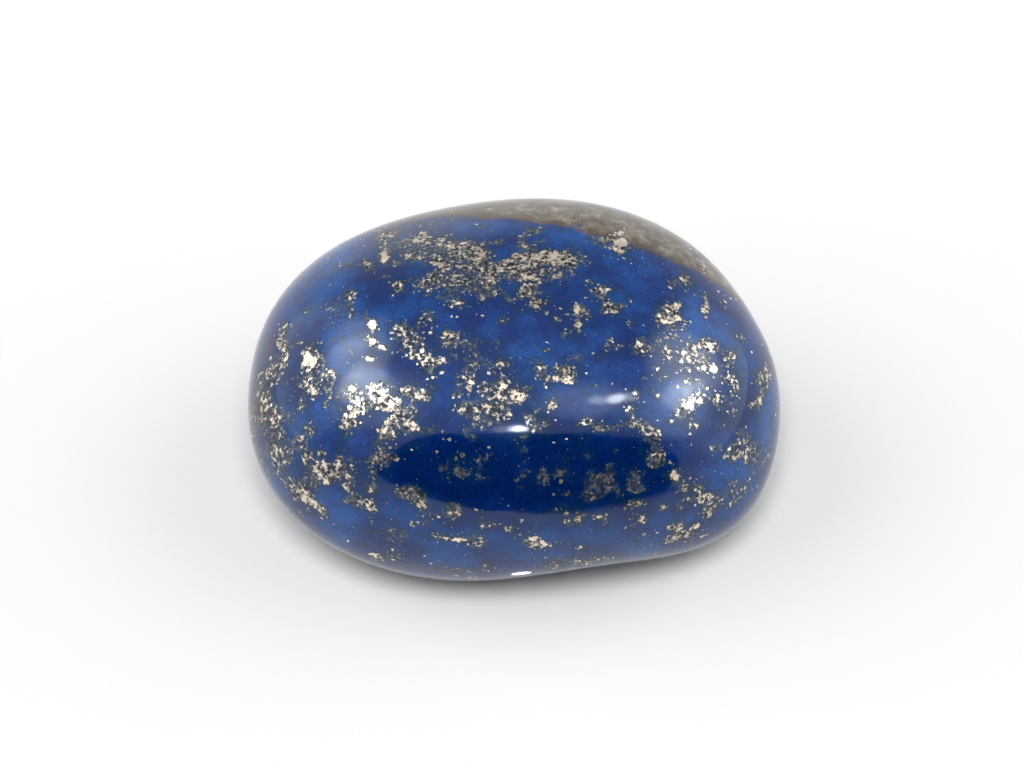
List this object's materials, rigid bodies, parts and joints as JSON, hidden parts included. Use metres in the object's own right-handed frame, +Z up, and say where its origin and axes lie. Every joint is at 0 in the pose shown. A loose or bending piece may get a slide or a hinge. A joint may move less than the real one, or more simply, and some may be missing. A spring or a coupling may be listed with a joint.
{
  "type": "tumbled lapis lazuli stone",
  "caption": "Polished blue lapis lazuli pebble, rounded and slightly uneven, flecked with pyrite, with a small flat spot that it rests on.",
  "frame": {"origin": "on the surface that the stone rests on, under the middle of its bounding box", "axes": "+X along the stone's length, +Y from its front to its back, +Z up"},
  "size_m": [0.0278, 0.0218, 0.0149],
  "materials": {
    "polished_lapis": "tumble-polished, glossy"
  },
  "bodies": {
    "root": {"lapis_stone": "polished_lapis"}
  },
  "joints": []
}
